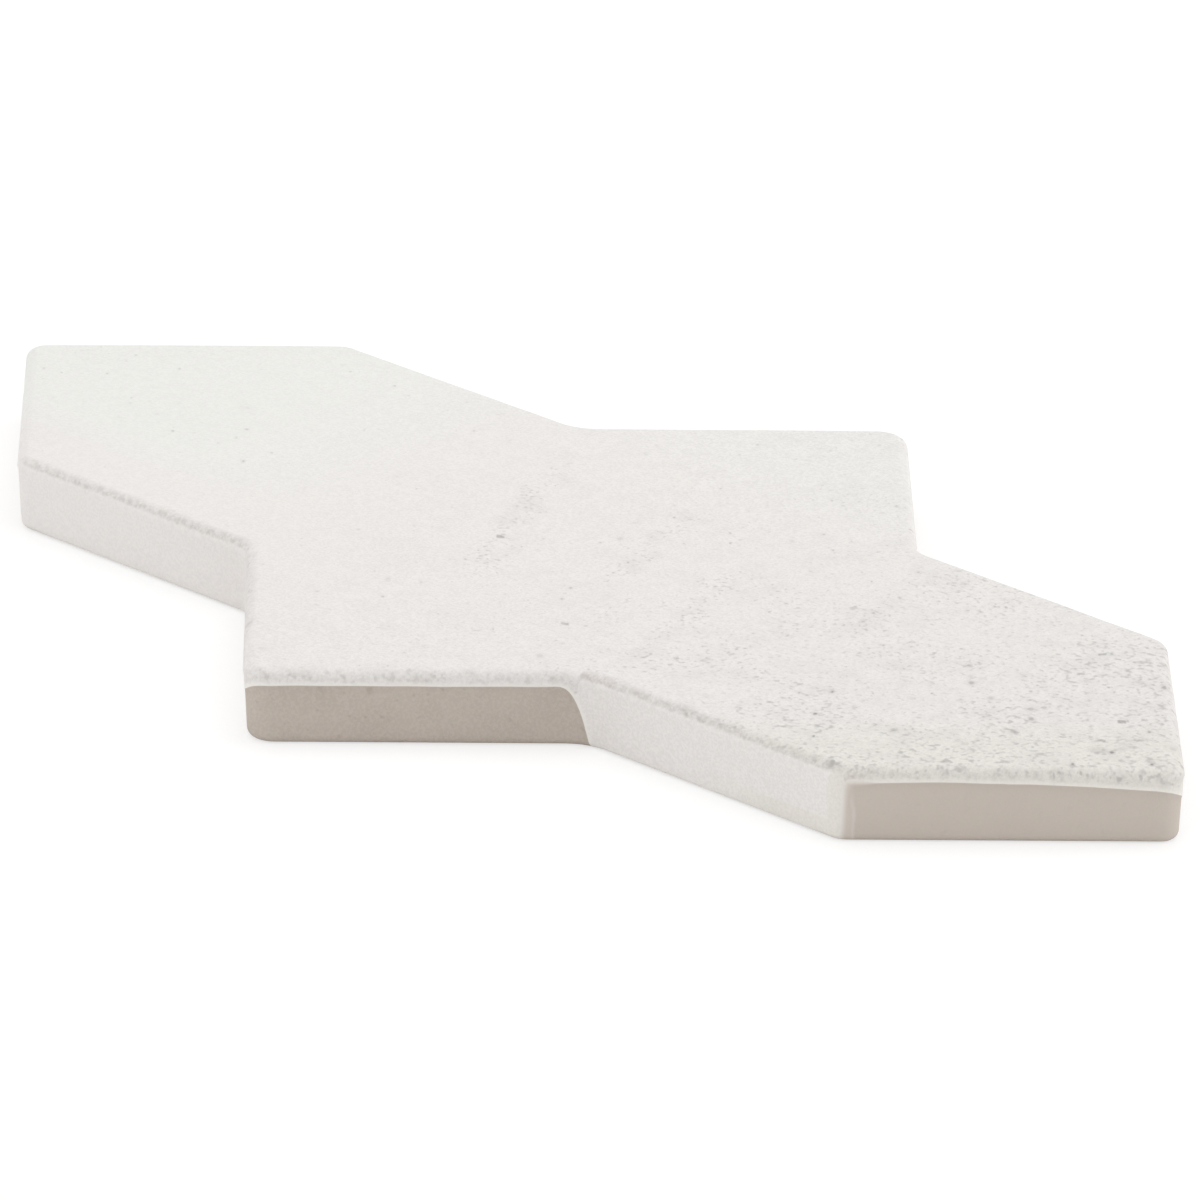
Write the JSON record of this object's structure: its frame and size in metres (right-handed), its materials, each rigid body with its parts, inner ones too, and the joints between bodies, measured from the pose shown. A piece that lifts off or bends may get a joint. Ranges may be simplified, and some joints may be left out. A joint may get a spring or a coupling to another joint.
{
  "type": "porcelain tile",
  "caption": "Long star-shaped porcelain tile with a matt off-white terracotta-look face, softened edges, drafted bare-clay sides and a keyed back, laid in interlocking rows.",
  "frame": {"origin": "middle of the back, on the plane the tile lies on", "axes": "+X along the band from one end point to the other, +Y towards a side point, +Z out of the glazed face"},
  "size_m": [0.2146, 0.1236, 0.0107],
  "materials": {
    "tile": "matt"
  },
  "bodies": {
    "root": {"tile": "tile"}
  },
  "joints": []
}
